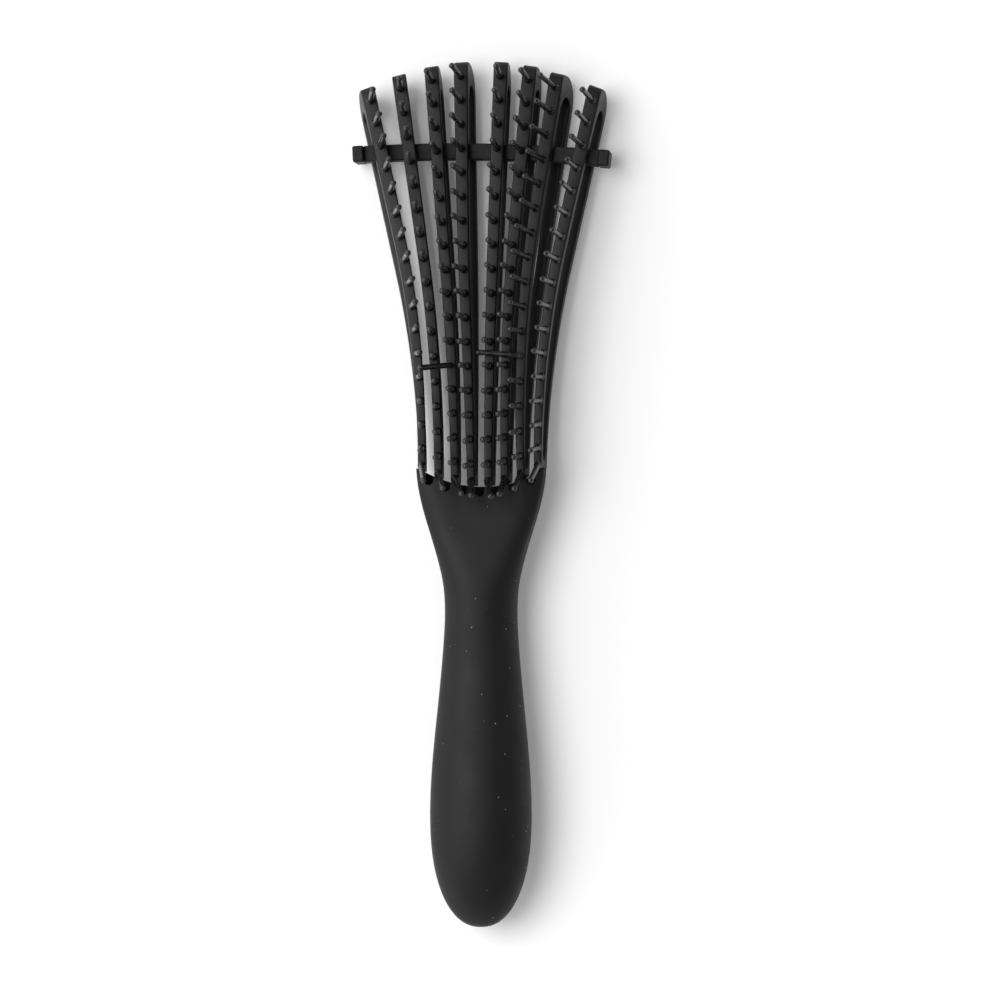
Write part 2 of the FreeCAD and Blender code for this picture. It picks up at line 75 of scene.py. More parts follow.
# Soft-touch lacquer sprayed on an ABS handle: velvety black, no sharp reflections,
# a fine orange-peel grain, faint handling marks and a few specks of dust.
softTouch = {
    "colour": "#0f0e10",
    "rubbedColour": "#151415",
    "dustColour": "#bdbbbc",
    "roughness": (0.5, 0.62),
    "grainSize": 0.35,
    "markSize": 18.0,
    "dustSpacing": 2.6,
    "dustSize": 0.16,
    "dustyMarks": (0.46, 0.58),  # how marked the coat is where dust starts to stick and where all of it does
    "grainStrength": 0.12, "grainDepth": 0.05,
    "edgeRound": 0.35,  # the sprayed coat softens the moulded edges
    "ior": 1.5, "specular": 0.24, "sheen": 0.02, "sheenRoughness": 0.35,
}


def softTouchLacquer():
    s = softTouch
    material, tree, shader, place = newMaterial("soft-touch lacquer on ABS")
    marks = addNode(tree, "ShaderNodeTexNoise", {}, {
        "Vector": place, "Scale": perMm(s["markSize"]), "Detail": 4.0, "Roughness": 0.6})
    grain = addNode(tree, "ShaderNodeTexNoise", {}, {
        "Vector": place, "Scale": perMm(s["grainSize"]), "Detail": 2.0})
    specks = addNode(tree, "ShaderNodeTexVoronoi", {}, {
        "Vector": place, "Scale": perMm(s["dustSpacing"]), "Randomness": 1.0})
    isSpeck = addNode(tree, "ShaderNodeMapRange", {}, {
        "Value": specks.outputs["Distance"],
        "From Min": s["dustSize"] / s["dustSpacing"], "From Max": 0.6 * s["dustSize"] / s["dustSpacing"],
        "To Min": 0.0, "To Max": 1.0})
    where = addNode(tree, "ShaderNodeMapRange", {}, {
        "Value": marks.outputs["Fac"], "From Min": s["dustyMarks"][0], "From Max": s["dustyMarks"][1],
        "To Min": 0.0, "To Max": 1.0})
    dust = addNode(tree, "ShaderNodeMath", {"operation": "MULTIPLY"}, {
        0: isSpeck.outputs["Result"], 1: where.outputs["Result"]})
    skin = addNode(tree, "ShaderNodeMix", {"data_type": "RGBA"}, {
        "Factor": marks.outputs["Fac"], 6: linearColour(s["colour"]), 7: linearColour(s["rubbedColour"])})
    dusty = addNode(tree, "ShaderNodeMix", {"data_type": "RGBA"}, {
        "Factor": dust.outputs["Value"], 6: skin.outputs[2], 7: linearColour(s["dustColour"])})
    tree.links.new(dusty.outputs[2], shader.inputs["Base Color"])
    sheenless = addNode(tree, "ShaderNodeMapRange", {}, {
        "Value": marks.outputs["Fac"], "From Min": 0.3, "From Max": 0.7,
        "To Min": s["roughness"][0], "To Max": s["roughness"][1]})
    tree.links.new(sheenless.outputs["Result"], shader.inputs["Roughness"])
    edges = addNode(tree, "ShaderNodeBevel", {"samples": 6}, {"Radius": s["edgeRound"] * mm})
    peel = addNode(tree, "ShaderNodeBump", {}, {
        "Height": grain.outputs["Fac"], "Strength": s["grainStrength"], "Distance": s["grainDepth"] * mm,
        "Normal": edges.outputs["Normal"]})
    tree.links.new(peel.outputs["Normal"], shader.inputs["Normal"])
    shader.inputs["IOR"].default_value = s["ior"]
    shader.inputs["Specular IOR Level"].default_value = s["specular"]
    shader.inputs["Sheen Weight"].default_value = s["sheen"]
    shader.inputs["Sheen Roughness"].default_value = s["sheenRoughness"]
    return material


# Injection-moulded polypropylene: satin black with faint flow lines along the arm
# and a fine mould grain.
armPlastic = {
    "colour": "#0e0e0f",
    "flowColour": "#151416",
    "roughness": (0.34, 0.46),
    "flowWidth": 0.9,
    "flowLength": 30.0,
    "grainSize": 0.4, "grainStrength": 0.1, "grainDepth": 0.04,
    "ior": 1.49, "specular": 0.27,
}


def mouldedPolypropylene():
    s = armPlastic
    material, tree, shader, place = newMaterial("moulded polypropylene")
    along = addNode(tree, "ShaderNodeMapping", {}, {
        "Vector": place, "Scale": (perMm(s["flowWidth"]), perMm(s["flowLength"]), perMm(s["flowWidth"]))})
    flow = addNode(tree, "ShaderNodeTexNoise", {}, {
        "Vector": along.outputs["Vector"], "Scale": 1.0, "Detail": 3.0})
    grain = addNode(tree, "ShaderNodeTexNoise", {}, {
        "Vector": place, "Scale": perMm(s["grainSize"]), "Detail": 2.0})
    skin = addNode(tree, "ShaderNodeMix", {"data_type": "RGBA"}, {
        "Factor": flow.outputs["Fac"], 6: linearColour(s["colour"]), 7: linearColour(s["flowColour"])})
    tree.links.new(skin.outputs[2], shader.inputs["Base Color"])
    gloss = addNode(tree, "ShaderNodeMapRange", {}, {
        "Value": flow.outputs["Fac"], "From Min": 0.3, "From Max": 0.7,
        "To Min": s["roughness"][0], "To Max": s["roughness"][1]})
    tree.links.new(gloss.outputs["Result"], shader.inputs["Roughness"])
    texture = addNode(tree, "ShaderNodeBump", {}, {
        "Height": grain.outputs["Fac"], "Strength": s["grainStrength"], "Distance": s["grainDepth"] * mm})
    tree.links.new(texture.outputs["Normal"], shader.inputs["Normal"])
    shader.inputs["IOR"].default_value = s["ior"]
    shader.inputs["Specular IOR Level"].default_value = s["specular"]
    return material


# Moulded nylon pins: smoother and glossier than the arms, so each ball shows a small highlight.
pinNylon = {
    "colour": "#101011",
    "mottleColour": "#1c1b1d",
    "roughness": (0.2, 0.3),
    "mottleSize": 1.5,
    "ior": 1.53,
}


def mouldedNylon():
    s = pinNylon
    material, tree, shader, place = newMaterial("moulded nylon")
    mottle = addNode(tree, "ShaderNodeTexNoise", {}, {
        "Vector": place, "Scale": perMm(s["mottleSize"]), "Detail": 2.0})
    skin = addNode(tree, "ShaderNodeMix", {"data_type": "RGBA"}, {
        "Factor": mottle.outputs["Fac"], 6: linearColour(s["colour"]), 7: linearColour(s["mottleColour"])})
    tree.links.new(skin.outputs[2], shader.inputs["Base Color"])
    gloss = addNode(tree, "ShaderNodeMapRange", {}, {
        "Value": mottle.outputs["Fac"], "From Min": 0.3, "From Max": 0.7,
        "To Min": s["roughness"][0], "To Max": s["roughness"][1]})
    tree.links.new(gloss.outputs["Result"], shader.inputs["Roughness"])
    shader.inputs["IOR"].default_value = s["ior"]
    return material


# The bar and its caps: the same kind of plastic with a duller, slightly scuffed mould finish.
barPlastic = {
    "colour": "#0c0c0d",
    "scuffColour": "#161517",
    "roughness": (0.42, 0.58),
    "scuffSize": 1.2, "scuffStrength": 0.15, "scuffDepth": 0.05,
    "ior": 1.49, "specular": 0.22,
}


def mouldedBarPlastic():
    s = barPlastic
    material, tree, shader, place = newMaterial("dull moulded polypropylene")
    scuffs = addNode(tree, "ShaderNodeTexNoise", {}, {
        "Vector": place, "Scale": perMm(s["scuffSize"]), "Detail": 5.0, "Roughness": 0.65})
    skin = addNode(tree, "ShaderNodeMix", {"data_type": "RGBA"}, {
        "Factor": scuffs.outputs["Fac"], 6: linearColour(s["colour"]), 7: linearColour(s["scuffColour"])})
    tree.links.new(skin.outputs[2], shader.inputs["Base Color"])
    gloss = addNode(tree, "ShaderNodeMapRange", {}, {
        "Value": scuffs.outputs["Fac"], "From Min": 0.3, "From Max": 0.7,
        "To Min": s["roughness"][0], "To Max": s["roughness"][1]})
    tree.links.new(gloss.outputs["Result"], shader.inputs["Roughness"])
    texture = addNode(tree, "ShaderNodeBump", {}, {
        "Height": scuffs.outputs["Fac"], "Strength": s["scuffStrength"], "Distance": s["scuffDepth"] * mm})
    tree.links.new(texture.outputs["Normal"], shader.inputs["Normal"])
    shader.inputs["IOR"].default_value = s["ior"]
    shader.inputs["Specular IOR Level"].default_value = s["specular"]
    return material


handleFinish = softTouchLacquer()
armFinish = mouldedPolypropylene()
pinFinish = mouldedNylon()
barFinish = mouldedBarPlastic()
print("materials made")


def finishNode(name, material):
    # a CAD node that stays as it is gets the better material
    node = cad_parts[name]
    node.data.materials.clear()
    node.data.materials.append(material)


for name in ("spreader_bar", "bar_cap_left", "bar_cap_right"):
    finishNode(name, barFinish)
for name in ("handle_front_shell", "handle_rear_shell"):
    finishNode(name, handleFinish)
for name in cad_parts:
    if name.startswith("bent_pin"):
        finishNode(name, pinFinish)


# Sizes of the arms, as they stand in the frame
arms = {
    "mouthY": 2.0, "mouthArc": 33.0,
    "rootSpan": 32.4, "tipSpan": 63.6, "tipsY": 117.5, "tipArc": 75.0, "bendTangent": 30.0,
    "rootWidth": 2.1, "tipWidth": 3.9, "rootTilt": 3.0, "tiltHeight": 8.0,
    "tilts": (11.5, 4.5, 0.0, -5.5, 1.5, 5.5, 14.0, 8.5),
    "leans": (0.0, 0.0, 0.0, 0.35, -0.45, 0.0, 0.55, 0.0), "eyeSpan": 26.0, "eyeDrop": 6.5,
    "frontRoot": 15.5, "frontTip": 11.0, "frontBow": 2.93, "frontLeg": 2.4,
    "backRoot": 4.5, "backLift": 0.05, "backLeg": 2.6,
    "tipSolid": 6.2, "tipFrontRound": 1.5, "tipBackRound": 8.5,
    "rootWeb": 2.6, "rootSink": 1.5, "seatGap": 0.2,
    "edgeRound": 0.38, "rootFade": 3.0, "tipFade": 6.0,  # how far the slanted ends reach into the arm
    "frontSteps": 34, "backSteps": 24, "noseSteps": 5, "heelSteps": 9,
}
armCount = len(arms["leans"])


def mouthArc(x):
    return arms["mouthY"] + arms["mouthArc"] - math.sqrt(arms["mouthArc"] ** 2 - x * x)


def tipDrop(x):
    return arms["tipArc"] - math.sqrt(arms["tipArc"] ** 2 - x * x)


def armLayout(number):
    # where an arm stands in the fan: straight out of the mouth, round a bend, then straight to its tip
    side = (2 * number - armCount - 1) / (armCount - 1)
    rootX = side * arms["rootSpan"] / 2
    root = Vector((rootX, mouthArc(rootX) - arms["rootSink"], 0))
    tipX = side * arms["tipSpan"] / 2
    tipY = arms["tipsY"] - tipDrop(tipX) + tipDrop(arms["tipSpan"] / 2 / (armCount - 1))
    tip = Vector((tipX, tipY, 0))
    corner = root + Vector((0, arms["bendTangent"], 0))
    reach = tip - corner
    fan = math.atan2(abs(reach.x), reach.y)
    bend = arms["bendTangent"] / math.tan(fan / 2)
    way = math.copysign(1, side)
    middle = root + Vector((way * bend * (1 - math.cos(fan / 2)), bend * math.sin(fan / 2), 0))
    eye = Vector((side * arms["eyeSpan"] / 2, mouthArc(rootX) - arms["eyeDrop"], 0))
    return {
        "side": side, "way": way, "root": root, "middle": middle, "tip": tip, "eye": eye,
        "bendEnd": corner + reach.normalized() * arms["bendTangent"],
        "length": reach.length + arms["bendTangent"] * math.cos(fan),
        "bendShare": arms["bendTangent"] * (1 + math.cos(fan)),
        "tilt": way * math.radians(arms["tilts"][number - 1]),
        "tipSlope": math.tan(math.asin(abs(tipX) / arms["tipArc"]) - fan),
        "lean": math.radians(arms["leans"][number - 1]),
    }


longest = armLayout(armCount // 2)["length"]
bowDrop = arms["frontTip"] - arms["frontRoot"]
bowChord = math.hypot(longest, bowDrop)
bowRadius = (bowChord ** 2 / 4 + arms["frontBow"] ** 2) / (2 * arms["frontBow"])
bowShare = (bowRadius - arms["frontBow"]) / bowChord
bowAlong = longest / 2 + bowShare * bowDrop
bowHeight = (arms["frontRoot"] + arms["frontTip"]) / 2 - bowShare * longest
backSlope = (arms["backRoot"] - arms["backLift"]) / (longest - arms["tipBackRound"])


def frontZ(along, inset=0.0):
    return bowHeight + math.sqrt((bowRadius - inset) ** 2 - (along - bowAlong) ** 2)


def backZ(along):
    return arms["backRoot"] - backSlope * along


def spread(first, last, count):
    return [first + (last - first) * i / count for i in range(1, count + 1)]


def onCircle(along, height, radius, turn):
    return along + radius * math.cos(turn), height + radius * math.sin(turn)


def gapEnd(end, way):
    low, high = backZ(end) + arms["backLeg"], frontZ(end, arms["frontLeg"])
    return end + way * (high - low) / 2, (high + low) / 2, (high - low) / 2


def armRails(length):
    # pairs of points round the hairpin, outside and inside, as (along the arm, height)
    rootEnd = arms["rootSink"] + arms["seatGap"]
    lowAlong, lowMid, lowHalf = gapEnd(arms["rootSink"] + arms["rootWeb"], 1)
    highAlong, highMid, highHalf = gapEnd(length - arms["tipSolid"], -1)
    frontEnd, backEnd = length - arms["tipFrontRound"], length - arms["tipBackRound"]
    cornerZ = frontZ(length) - arms["tipFrontRound"]
    roundZ = backZ(backEnd) + arms["tipBackRound"]

    def aroundGap(point, along, mid, half):
        return onCircle(along, mid, half, math.atan2(point[1] - mid, point[0] - along))

    pairs = []
    for a in spread(lowAlong, highAlong, arms["frontSteps"]):
        pairs.append(((a, frontZ(a)), (a, frontZ(a, arms["frontLeg"]))))
    outside = [(a, frontZ(a)) for a in spread(highAlong, frontEnd, 4)]
    for turn in spread(90, 0, arms["noseSteps"]):
        outside.append(onCircle(frontEnd, cornerZ, arms["tipFrontRound"], math.radians(turn)))
    for turn in [0] + spread(0, -90, arms["heelSteps"]):
        outside.append(onCircle(backEnd, roundZ, arms["tipBackRound"], math.radians(turn)))
    pairs += [(p, aroundGap(p, highAlong, highMid, highHalf)) for p in outside]
    for a in spread(highAlong, lowAlong, arms["backSteps"]):
        pairs.append(((a, backZ(a)), (a, backZ(a) + arms["backLeg"])))
    outside = [(a, backZ(a)) for a in spread(lowAlong, rootEnd, 3)]
    outside += [(rootEnd, z) for z in spread(backZ(rootEnd), frontZ(rootEnd), 5)]
    outside += [(a, frontZ(a)) for a in spread(rootEnd, lowAlong, 3)]
    pairs += [(p, aroundGap(p, lowAlong, lowMid, lowHalf)) for p in outside]
    return pairs


def armBlank(number, layout):
    # straight hairpin with rounded edges; its width, tilt and bend come from the node tree
    rootEnd = arms["rootSink"] + arms["seatGap"]
    mouthSlope = layout["root"].x / math.sqrt(arms["mouthArc"] ** 2 - layout["root"].x ** 2)
    r = arms["edgeRound"]
    soft = r * (1 - math.sqrt(0.5))
    corner = ((0.0, r), (soft, soft), (r, 0.0))
    ring = [(1, i, d, 0) for i, d in corner] + [(-1, i, d, 0) for i, d in reversed(corner)]
    ring += [(-1, i, d, 1) for i, d in corner] + [(1, i, d, 1) for i, d in reversed(corner)]
    mesh = bpy.data.meshes.new("arm_loop_%d" % number)
    points, edges, insets = [], [], []
    for outer, inner in armRails(layout["length"]):
        outer, inner = Vector(outer), Vector(inner)
        across = (outer - inner).normalized()
        for edge, inset, depth, isInner in ring:
            p = inner + across * depth if isInner else outer - across * depth
            fade = max(0.0, 1 - (p.x - rootEnd) / arms["rootFade"])
            p.x += edge * (arms["rootWidth"] / 2 - inset) * mouthSlope * fade
            fade = max(0.0, 1 - (layout["length"] - p.x) / arms["tipFade"])
            p.x -= (1 + edge * layout["way"]) / 4 * arms["tipWidth"] * layout["tipSlope"] * fade
            points.append((edge * mm, p.x * mm, p.y * mm))
            edges.append(edge)
            insets.append(inset * mm)
    n, count = len(ring), len(points) // len(ring)
    faces = []
    for i in range(count):
        for k in range(n):
            a, b = i * n + k, i * n + (k + 1) % n
            c, d = (i + 1) % count * n + (k + 1) % n, (i + 1) % count * n + k
            faces.append((a, b, c, d))
    mesh.from_pydata(points, [], faces)
    mesh.attributes.new("edge", "FLOAT", "POINT").data.foreach_set("value", edges)
    mesh.attributes.new("inset", "FLOAT", "POINT").data.foreach_set("value", insets)
    shell = bmesh.new()
    shell.from_mesh(mesh)
    bmesh.ops.recalc_face_normals(shell, faces=shell.faces)
    shell.to_mesh(mesh)
    shell.free()
    piece = bpy.data.objects.new(mesh.name, mesh)
    scene.collection.objects.link(piece)
    return piece


bendInputs = (
    ("Root", "NodeSocketVector"), ("Bend Middle", "NodeSocketVector"), ("Bend End", "NodeSocketVector"),
    ("Tip", "NodeSocketVector"), ("Length", "NodeSocketFloat"), ("Bend Share", "NodeSocketFloat"),
    ("Root Tilt", "NodeSocketFloat"), ("Tip Tilt", "NodeSocketFloat"), ("Tilt Height", "NodeSocketFloat"),
    ("Lean", "NodeSocketVector"), ("Eye", "NodeSocketVector"), ("Material", "NodeSocketMaterial"),
)


def newTree(name, extraInputs):
    tree = bpy.data.node_groups.new(name, "GeometryNodeTree")
    tree.interface.new_socket("Geometry", in_out="INPUT", socket_type="NodeSocketGeometry")
    tree.interface.new_socket("Geometry", in_out="OUTPUT", socket_type="NodeSocketGeometry")
    for label, kind in bendInputs + extraInputs:
        tree.interface.new_socket(label, in_out="INPUT", socket_type=kind)
    return tree, addNode(tree, "NodeGroupInput").outputs, addNode(tree, "NodeGroupOutput").inputs


def bendAlongArm(tree, given, across):
    # position and stand of each point when the straight arm is laid along its bent line
    arc = addNode(tree, "GeometryNodeCurveArc", {"mode": "POINTS"}, {
        "Resolution": 48, "Start": given["Root"], "Middle": given["Bend Middle"], "End": given["Bend End"]})
    line = addNode(tree, "GeometryNodeCurvePrimitiveLine", {}, {
        "Start": given["Bend End"], "End": given["Tip"]})
    position = addNode(tree, "GeometryNodeInputPosition").outputs[0]
    straight = addNode(tree, "ShaderNodeSeparateXYZ", {}, {"Vector": position})
    bendPart = addNode(tree, "ShaderNodeMath", {"operation": "DIVIDE"}, {
        0: straight.outputs["Y"], 1: given["Bend Share"]})
    pastBend = addNode(tree, "ShaderNodeMath", {"operation": "SUBTRACT"}, {
        0: straight.outputs["Y"], 1: given["Bend Share"]})
    bent = addNode(tree, "GeometryNodeSampleCurve", {"mode": "FACTOR"}, {
        "Curves": arc.outputs["Curve"], "Factor": bendPart.outputs[0]})
    run = addNode(tree, "GeometryNodeSampleCurve", {"mode": "LENGTH"}, {
        "Curves": line.outputs["Curve"], "Length": pastBend.outputs[0]})
    isPast = addNode(tree, "FunctionNodeCompare", {"data_type": "FLOAT", "operation": "GREATER_THAN"}, {
        "A": pastBend.outputs[0], "B": 0.0})
    centre = addNode(tree, "GeometryNodeSwitch", {"input_type": "VECTOR"}, {
        "Switch": isPast.outputs["Result"],
        "False": bent.outputs["Position"], "True": run.outputs["Position"]})
    heading = addNode(tree, "GeometryNodeSwitch", {"input_type": "VECTOR"}, {
        "Switch": isPast.outputs["Result"],
        "False": bent.outputs["Tangent"], "True": run.outputs["Tangent"]})
    sideways = addNode(tree, "ShaderNodeVectorMath", {"operation": "CROSS_PRODUCT"}, {
        0: heading.outputs["Output"], 1: (0, 0, 1)})
    tilt = addNode(tree, "ShaderNodeMapRange", {"clamp": True}, {
        "Value": bendPart.outputs[0], "From Min": 0.0, "From Max": 1.0,
        "To Min": given["Root Tilt"], "To Max": given["Tip Tilt"]})
    lean = addNode(tree, "ShaderNodeMath", {"operation": "TANGENT"}, {0: tilt.outputs["Result"]})
    rise = addNode(tree, "ShaderNodeMath", {"operation": "SUBTRACT"}, {
        0: straight.outputs["Z"], 1: given["Tilt Height"]})
    shift = addNode(tree, "ShaderNodeMath", {"operation": "MULTIPLY"}, {
        0: lean.outputs[0], 1: rise.outputs[0]})
    offset = addNode(tree, "ShaderNodeMath", {"operation": "SUBTRACT"}, {0: across, 1: shift.outputs[0]})
    aside = addNode(tree, "ShaderNodeVectorMath", {"operation": "SCALE"}, {
        0: sideways.outputs["Vector"], "Scale": offset.outputs[0]})
    up = addNode(tree, "ShaderNodeCombineXYZ", {}, {"Z": straight.outputs["Z"]})
    flat = addNode(tree, "ShaderNodeVectorMath", {"operation": "ADD"}, {
        0: centre.outputs["Output"], 1: aside.outputs["Vector"]})
    place = addNode(tree, "ShaderNodeVectorMath", {"operation": "ADD"}, {
        0: flat.outputs["Vector"], 1: up.outputs["Vector"]})
    turned = addNode(tree, "ShaderNodeVectorRotate", {"rotation_type": "EULER_XYZ"}, {
        "Vector": place.outputs["Vector"], "Center": given["Eye"], "Rotation": given["Lean"]})
    return (turned.outputs["Vector"], heading.outputs["Output"],
            sideways.outputs["Vector"], tilt.outputs["Result"])


def armTree():
    tree, given, made = newTree("looped arm", (
        ("Root Width", "NodeSocketFloat"), ("Tip Width", "NodeSocketFloat")))
    edge = addNode(tree, "GeometryNodeInputNamedAttribute", {"data_type": "FLOAT"}, {"Name": "edge"})
    inset = addNode(tree, "GeometryNodeInputNamedAttribute", {"data_type": "FLOAT"}, {"Name": "inset"})
    position = addNode(tree, "GeometryNodeInputPosition").outputs[0]
    along = addNode(tree, "ShaderNodeSeparateXYZ", {}, {"Vector": position})
    width = addNode(tree, "ShaderNodeMapRange", {"clamp": True}, {
        "Value": along.outputs["Y"], "From Min": 0.0, "From Max": given["Length"],
        "To Min": given["Root Width"], "To Max": given["Tip Width"]})
    half = addNode(tree, "ShaderNodeMath", {"operation": "MULTIPLY"}, {0: width.outputs["Result"], 1: 0.5})
    reach = addNode(tree, "ShaderNodeMath", {"operation": "SUBTRACT"}, {
        0: half.outputs[0], 1: inset.outputs["Attribute"]})
    across = addNode(tree, "ShaderNodeMath", {"operation": "MULTIPLY"}, {
        0: edge.outputs["Attribute"], 1: reach.outputs[0]})
    place = bendAlongArm(tree, given, across.outputs[0])[0]
    moved = addNode(tree, "GeometryNodeSetPosition", {}, {"Geometry": given["Geometry"], "Position": place})
    real = addNode(tree, "GeometryNodeRealizeInstances", {}, {"Geometry": moved.outputs["Geometry"]})
    dressed = addNode(tree, "GeometryNodeSetMaterial", {}, {
        "Geometry": real.outputs["Geometry"], "Material": given["Material"]})
    tree.links.new(dressed.outputs["Geometry"], made["Geometry"])
    return tree


# Pins: a tapered shaft on a small fillet, with a ball at its end
pins = {
    "counts": (17, 17, 18, 18, 18, 18, 17, 17), "bent": ((3, 13), (7, 12)),
    "length": 14.0, "baseRadius": 0.85, "neckRadius": 0.68, "ballRadius": 0.85,
    "filletRadius": 1.15, "filletHeight": 0.55, "embed": 0.35,
    "first": 4.0, "nextToLast": 6.2, "last": 1.5, "lastLean": 15.0,
    "lastAside": (4.0, 9.0, 13.0, 4.0, 8.0, 0.0, 0.0, -2.0),
    "unevenness": 0.018, "sides": 12, "rings": 7, "seed": 7,
}


def pinTree():
    tree, given, made = newTree("row of pins", (
        ("Pin Length", "NodeSocketFloat"), ("Base Radius", "NodeSocketFloat"),
        ("Neck Radius", "NodeSocketFloat"), ("Ball Radius", "NodeSocketFloat"),
        ("Fillet Radius", "NodeSocketFloat"), ("Fillet Height", "NodeSocketFloat"),
        ("Embed", "NodeSocketFloat"), ("Unevenness", "NodeSocketFloat"), ("Seed", "NodeSocketInt")))
    # one pin along Z, its foot at the origin
    ballZ = addNode(tree, "ShaderNodeMath", {"operation": "SUBTRACT"}, {
        0: given["Pin Length"], 1: given["Ball Radius"]})
    depth = addNode(tree, "ShaderNodeMath", {"operation": "ADD"}, {0: ballZ.outputs[0], 1: given["Embed"]})
    below = addNode(tree, "ShaderNodeMath", {"operation": "MULTIPLY"}, {0: given["Embed"], 1: -1.0})
    foot = addNode(tree, "ShaderNodeCombineXYZ", {}, {"Z": below.outputs[0]})
    head = addNode(tree, "ShaderNodeCombineXYZ", {}, {"Z": ballZ.outputs[0]})
    shaft = addNode(tree, "GeometryNodeMeshCone", {"fill_type": "NONE"}, {
        "Vertices": pins["sides"], "Radius Top": given["Neck Radius"], "Radius Bottom": given["Base Radius"],
        "Depth": depth.outputs[0]})
    fillet = addNode(tree, "GeometryNodeMeshCone", {"fill_type": "NONE"}, {
        "Vertices": pins["sides"], "Depth": given["Fillet Height"],
        "Radius Top": given["Base Radius"], "Radius Bottom": given["Fillet Radius"]})
    ball = addNode(tree, "GeometryNodeMeshUVSphere", {}, {
        "Segments": pins["sides"], "Rings": pins["rings"], "Radius": given["Ball Radius"]})
    shaftUp = addNode(tree, "GeometryNodeTransform", {}, {
        "Geometry": shaft.outputs["Mesh"], "Translation": foot.outputs["Vector"]})
    ballUp = addNode(tree, "GeometryNodeTransform", {}, {
        "Geometry": ball.outputs["Mesh"], "Translation": head.outputs["Vector"]})
    pin = addNode(tree, "GeometryNodeJoinGeometry")
    for part in (shaftUp, ballUp):
        tree.links.new(part.outputs["Geometry"], pin.inputs["Geometry"])
    tree.links.new(fillet.outputs["Mesh"], pin.inputs["Geometry"])
    # feet along the arm, each pin standing square to the bowed face
    place, heading, sideways, tilt = bendAlongArm(tree, given, 0.0)
    slope = addNode(tree, "GeometryNodeInputNamedAttribute", {"data_type": "FLOAT"}, {"Name": "slope"})
    extra = addNode(tree, "GeometryNodeInputNamedAttribute", {"data_type": "FLOAT_VECTOR"}, {"Name": "extra"})
    back = addNode(tree, "ShaderNodeVectorMath", {"operation": "SCALE"}, {
        0: heading, "Scale": slope.outputs["Attribute"]})
    inward = addNode(tree, "ShaderNodeVectorMath", {"operation": "SCALE"}, {0: sideways, "Scale": tilt})
    uneven = addNode(tree, "FunctionNodeRandomValue", {"data_type": "FLOAT_VECTOR"}, {
        "Min": (-1, -1, 0), "Max": (1, 1, 0), "Seed": given["Seed"]})
    nudge = addNode(tree, "ShaderNodeVectorMath", {"operation": "SCALE"}, {
        0: uneven.outputs["Value"], "Scale": given["Unevenness"]})
    stand = addNode(tree, "ShaderNodeVectorMath", {"operation": "SUBTRACT"}, {
        0: (0, 0, 1), 1: back.outputs["Vector"]})
    stand = addNode(tree, "ShaderNodeVectorMath", {"operation": "SUBTRACT"}, {
        0: stand.outputs["Vector"], 1: inward.outputs["Vector"]})
    stand = addNode(tree, "ShaderNodeVectorMath", {"operation": "ADD"}, {
        0: stand.outputs["Vector"], 1: extra.outputs["Attribute"]})
    stand = addNode(tree, "ShaderNodeVectorMath", {"operation": "ADD"}, {
        0: stand.outputs["Vector"], 1: nudge.outputs["Vector"]})
    # the stand is worked out on the straight arm, so it is kept before the feet move
    kept = addNode(tree, "GeometryNodeStoreNamedAttribute", {"data_type": "FLOAT_VECTOR"}, {
        "Geometry": given["Geometry"], "Name": "stand", "Value": stand.outputs["Vector"]})
    feet = addNode(tree, "GeometryNodeSetPosition", {}, {
        "Geometry": kept.outputs["Geometry"], "Position": place})
    standing = addNode(tree, "GeometryNodeInputNamedAttribute", {"data_type": "FLOAT_VECTOR"}, {
        "Name": "stand"})
    turn = addNode(tree, "FunctionNodeAlignRotationToVector", {"axis": "Z"}, {
        "Vector": standing.outputs["Attribute"]})
    row = addNode(tree, "GeometryNodeInstanceOnPoints", {}, {
        "Points": feet.outputs["Geometry"], "Instance": pin.outputs["Geometry"],
        "Rotation": turn.outputs["Rotation"]})
    real = addNode(tree, "GeometryNodeRealizeInstances", {}, {"Geometry": row.outputs["Instances"]})
    smooth = addNode(tree, "GeometryNodeSetShadeSmooth", {}, {"Geometry": real.outputs["Geometry"]})
    dressed = addNode(tree, "GeometryNodeSetMaterial", {}, {
        "Geometry": smooth.outputs["Geometry"], "Material": given["Material"]})
    tree.links.new(dressed.outputs["Geometry"], made["Geometry"])
    return tree


def bakeTree(piece, tree, values):
    modifier = piece.modifiers.new("shape", "NODES")
    modifier.node_group = tree
    for item in tree.interface.items_tree:
        if item.in_out == "INPUT" and item.name in values:
            modifier[item.identifier] = values[item.name]
    graph = bpy.context.evaluated_depsgraph_get()
    mesh = bpy.data.meshes.new_from_object(
        piece.evaluated_get(graph), preserve_all_data_layers=True, depsgraph=graph)
    piece.modifiers.clear()
    blank, piece.data = piece.data, mesh
    bpy.data.meshes.remove(blank)
    mesh.name = piece.name


def bendValues(layout, material):
    return {
        "Root": layout["root"] * mm, "Bend Middle": layout["middle"] * mm, "Bend End": layout["bendEnd"] * mm,
        "Tip": layout["tip"] * mm, "Length": layout["length"] * mm, "Bend Share": layout["bendShare"] * mm,
        "Root Tilt": math.radians(arms["rootTilt"]) * layout["side"],
        "Tip Tilt": layout["tilt"],
        "Tilt Height": arms["tiltHeight"] * mm, "Lean": (0.0, 0.0, layout["lean"]), "Eye": layout["eye"] * mm,
        "Material": material,
    }


